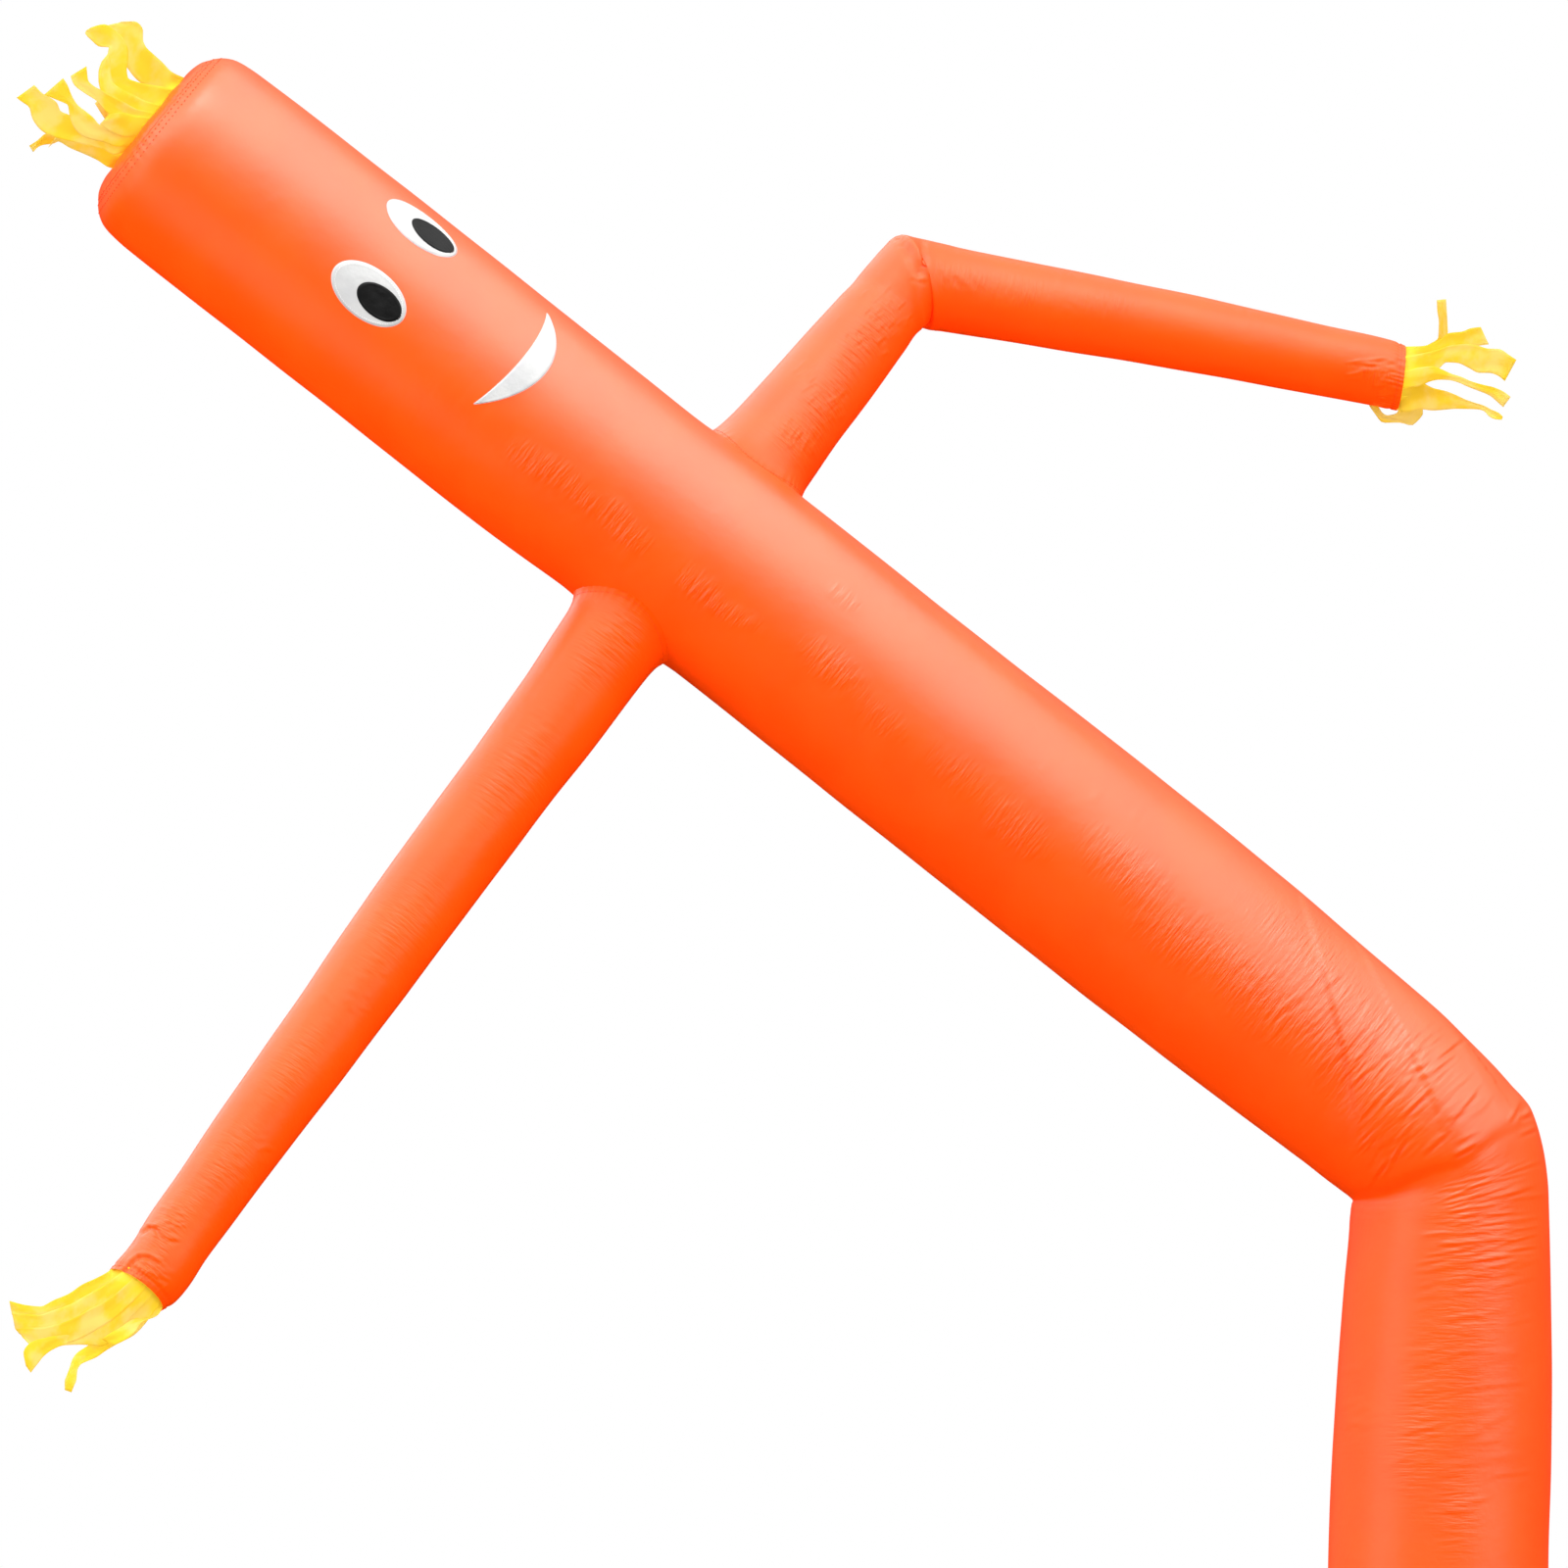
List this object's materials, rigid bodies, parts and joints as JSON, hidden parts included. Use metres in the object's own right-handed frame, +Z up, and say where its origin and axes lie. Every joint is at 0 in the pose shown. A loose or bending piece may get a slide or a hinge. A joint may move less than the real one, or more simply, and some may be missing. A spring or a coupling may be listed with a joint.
{
  "type": "inflatable air dancer",
  "caption": "Cloth tube figure filled by air: a leg bent at the knee, a leaning torso with a plain smiling face, two thin arms, and streamers for hair and hands",
  "frame": {"origin": "centre of the open base hem, in the plane of its lower edge, where the blower's collar goes in", "axes": "+Z up along the leg; the figure is seen from -Y and leans towards -X from the knee"},
  "size_m": [2.1502, 0.8374, 2.3038],
  "materials": {
    "orange_cloth": "coated tent cloth, soft sheen",
    "yellow_cloth": "thin uncoated streamer cloth, slightly see-through",
    "white_cloth": "thin patch cloth, matt",
    "black_cloth": "thin patch cloth, matt"
  },
  "bodies": {
    "root": {"body_tube": "orange_cloth", "arm_left": "orange_cloth", "arm_right": "orange_cloth", "head_cap": "orange_cloth", "hair_fringe": "yellow_cloth", "hand_fringe_left": "yellow_cloth", "hand_fringe_right": "yellow_cloth", "eye_left": "white_cloth", "eye_right": "white_cloth", "pupil_left": "black_cloth", "pupil_right": "black_cloth", "mouth": "white_cloth"}
  },
  "joints": []
}
